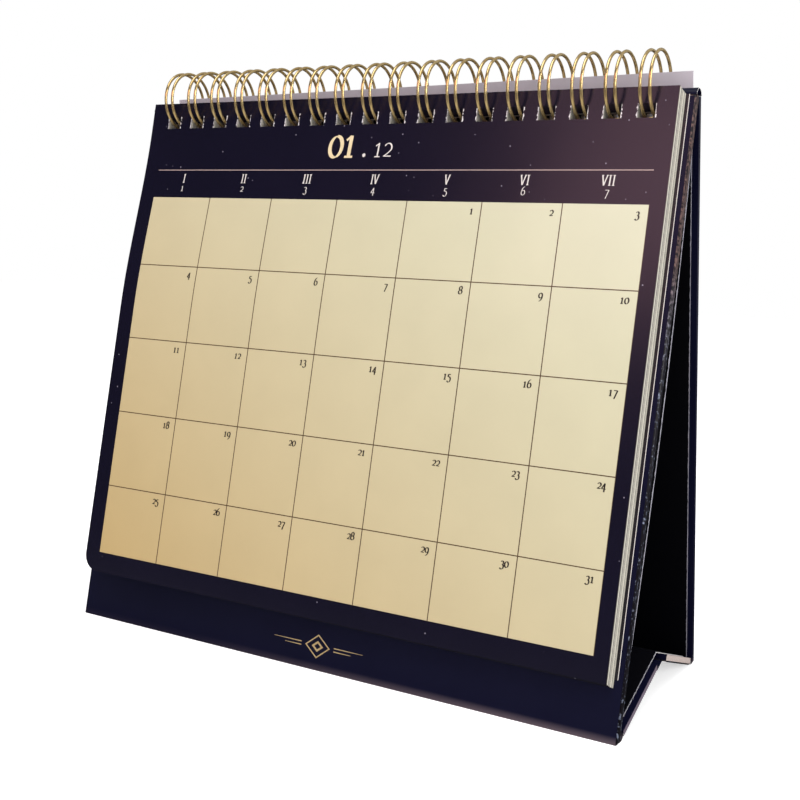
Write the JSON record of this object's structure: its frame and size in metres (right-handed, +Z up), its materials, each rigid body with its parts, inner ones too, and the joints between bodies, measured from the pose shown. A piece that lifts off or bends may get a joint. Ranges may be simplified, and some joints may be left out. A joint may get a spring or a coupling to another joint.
{
  "type": "desk calendar",
  "caption": "Flip calendar for a desk: month leaves on a twin-loop wire, hung on a tent-shaped folding stand of covered board.",
  "frame": {"origin": "on the desk, under the fold at the top of the stand, half way along the binding", "axes": "+X to the right along the binding, +Y from the leaves to the back, +Z up"},
  "size_m": [0.208, 0.079, 0.1991],
  "materials": {
    "grey_board": "bare grey board",
    "cover_paper": "black laminated paper, glossy",
    "lining_paper": "black lining paper, white cut edges",
    "gold_wire": "pale gold wire, satin",
    "leaf_paper": "coated paper, printed dark, white cut edges",
    "backing_paper": "coated paper, printed dark, white cut edges",
    "cover_leaf_paper": "coated paper, pale lilac grey"
  },
  "bodies": {
    "stand_front": {"front_board": "grey_board", "front_wrap": "cover_paper", "front_lining": "lining_paper", "spine_paper": "cover_paper", "front_fold_paper": "cover_paper", "binding_wire": "gold_wire"},
    "stand_back": {"back_board": "grey_board", "back_wrap": "cover_paper", "back_lining": "lining_paper", "rear_fold_paper": "cover_paper"},
    "base_front": {"base_front_board": "grey_board", "base_front_wrap": "cover_paper", "base_front_lining": "lining_paper", "ridge_paper": "cover_paper"},
    "base_rear": {"base_rear_board": "grey_board", "base_rear_wrap": "cover_paper", "base_rear_lining": "lining_paper"},
    "cover_leaf": {"cover_leaf": "cover_leaf_paper"},
    "backing_leaf": {"backing_leaf": "backing_paper"},
    "leaf_01": {"leaf_01": "leaf_paper"},
    "leaf_02": {"leaf_02": "leaf_paper"},
    "leaf_03": {"leaf_03": "leaf_paper"},
    "leaf_04": {"leaf_04": "leaf_paper"},
    "leaf_05": {"leaf_05": "leaf_paper"},
    "leaf_06": {"leaf_06": "leaf_paper"},
    "leaf_07": {"leaf_07": "leaf_paper"},
    "leaf_08": {"leaf_08": "leaf_paper"},
    "leaf_09": {"leaf_09": "leaf_paper"},
    "leaf_10": {"leaf_10": "leaf_paper"},
    "leaf_11": {"leaf_11": "leaf_paper"},
    "leaf_12": {"leaf_12": "leaf_paper"}
  },
  "joints": [
    {"name": "back_fold", "type": "hinge", "parent": "stand_front", "child": "stand_back", "pos_m": [0, 0, 0.1849], "axis": [-1, 0, 0], "range_deg": [0, 17.6]},
    {"name": "base_front_fold", "type": "hinge", "parent": "stand_front", "child": "base_front", "pos_m": [0, -0.03617, 0.00224], "axis": [1, 0, 0], "range_deg": [0, 58.5], "deforming": ["ridge_paper"]},
    {"name": "base_rear_fold", "type": "hinge", "parent": "stand_back", "child": "base_rear", "pos_m": [0, 0.03617, 0.00224], "axis": [-1, 0, 0], "range_deg": [0, 58.5]},
    {"name": "cover_leaf_turn", "type": "hinge", "parent": "stand_front", "child": "cover_leaf", "pos_m": [0, -0.00042, 0.18844], "axis": [-1, 0, 0], "range_deg": [-150, 0]},
    {"name": "backing_leaf_turn", "type": "hinge", "parent": "stand_front", "child": "backing_leaf", "pos_m": [0, -0.00042, 0.18844], "axis": [-1, 0, 0], "range_deg": [0, 180]},
    {"name": "leaf_12_turn", "type": "hinge", "parent": "backing_leaf", "child": "leaf_12", "pos_m": [0, -0.00042, 0.18844], "axis": [-1, 0, 0], "range_deg": [0, 180]},
    {"name": "leaf_11_turn", "type": "hinge", "parent": "leaf_12", "child": "leaf_11", "pos_m": [0, -0.00042, 0.18844], "axis": [-1, 0, 0], "range_deg": [0, 180]},
    {"name": "leaf_10_turn", "type": "hinge", "parent": "leaf_11", "child": "leaf_10", "pos_m": [0, -0.00042, 0.18844], "axis": [-1, 0, 0], "range_deg": [0, 180]},
    {"name": "leaf_09_turn", "type": "hinge", "parent": "leaf_10", "child": "leaf_09", "pos_m": [0, -0.00042, 0.18844], "axis": [-1, 0, 0], "range_deg": [0, 180]},
    {"name": "leaf_08_turn", "type": "hinge", "parent": "leaf_09", "child": "leaf_08", "pos_m": [0, -0.00042, 0.18844], "axis": [-1, 0, 0], "range_deg": [0, 180]},
    {"name": "leaf_07_turn", "type": "hinge", "parent": "leaf_08", "child": "leaf_07", "pos_m": [0, -0.00042, 0.18844], "axis": [-1, 0, 0], "range_deg": [0, 180]},
    {"name": "leaf_06_turn", "type": "hinge", "parent": "leaf_07", "child": "leaf_06", "pos_m": [0, -0.00042, 0.18844], "axis": [-1, 0, 0], "range_deg": [0, 180]},
    {"name": "leaf_05_turn", "type": "hinge", "parent": "leaf_06", "child": "leaf_05", "pos_m": [0, -0.00042, 0.18844], "axis": [-1, 0, 0], "range_deg": [0, 180]},
    {"name": "leaf_04_turn", "type": "hinge", "parent": "leaf_05", "child": "leaf_04", "pos_m": [0, -0.00042, 0.18844], "axis": [-1, 0, 0], "range_deg": [0, 180]},
    {"name": "leaf_03_turn", "type": "hinge", "parent": "leaf_04", "child": "leaf_03", "pos_m": [0, -0.00042, 0.18844], "axis": [-1, 0, 0], "range_deg": [0, 180]},
    {"name": "leaf_02_turn", "type": "hinge", "parent": "leaf_03", "child": "leaf_02", "pos_m": [0, -0.00042, 0.18844], "axis": [-1, 0, 0], "range_deg": [0, 180]},
    {"name": "leaf_01_turn", "type": "hinge", "parent": "leaf_02", "child": "leaf_01", "pos_m": [0, -0.00042, 0.18844], "axis": [-1, 0, 0], "range_deg": [0, 180]}
  ],
  "couplings": [
    {"joint": "base_front_fold", "follows": "back_fold", "ratio": 3.3238},
    {"joint": "base_rear_fold", "follows": "back_fold", "ratio": 3.3238}
  ]
}
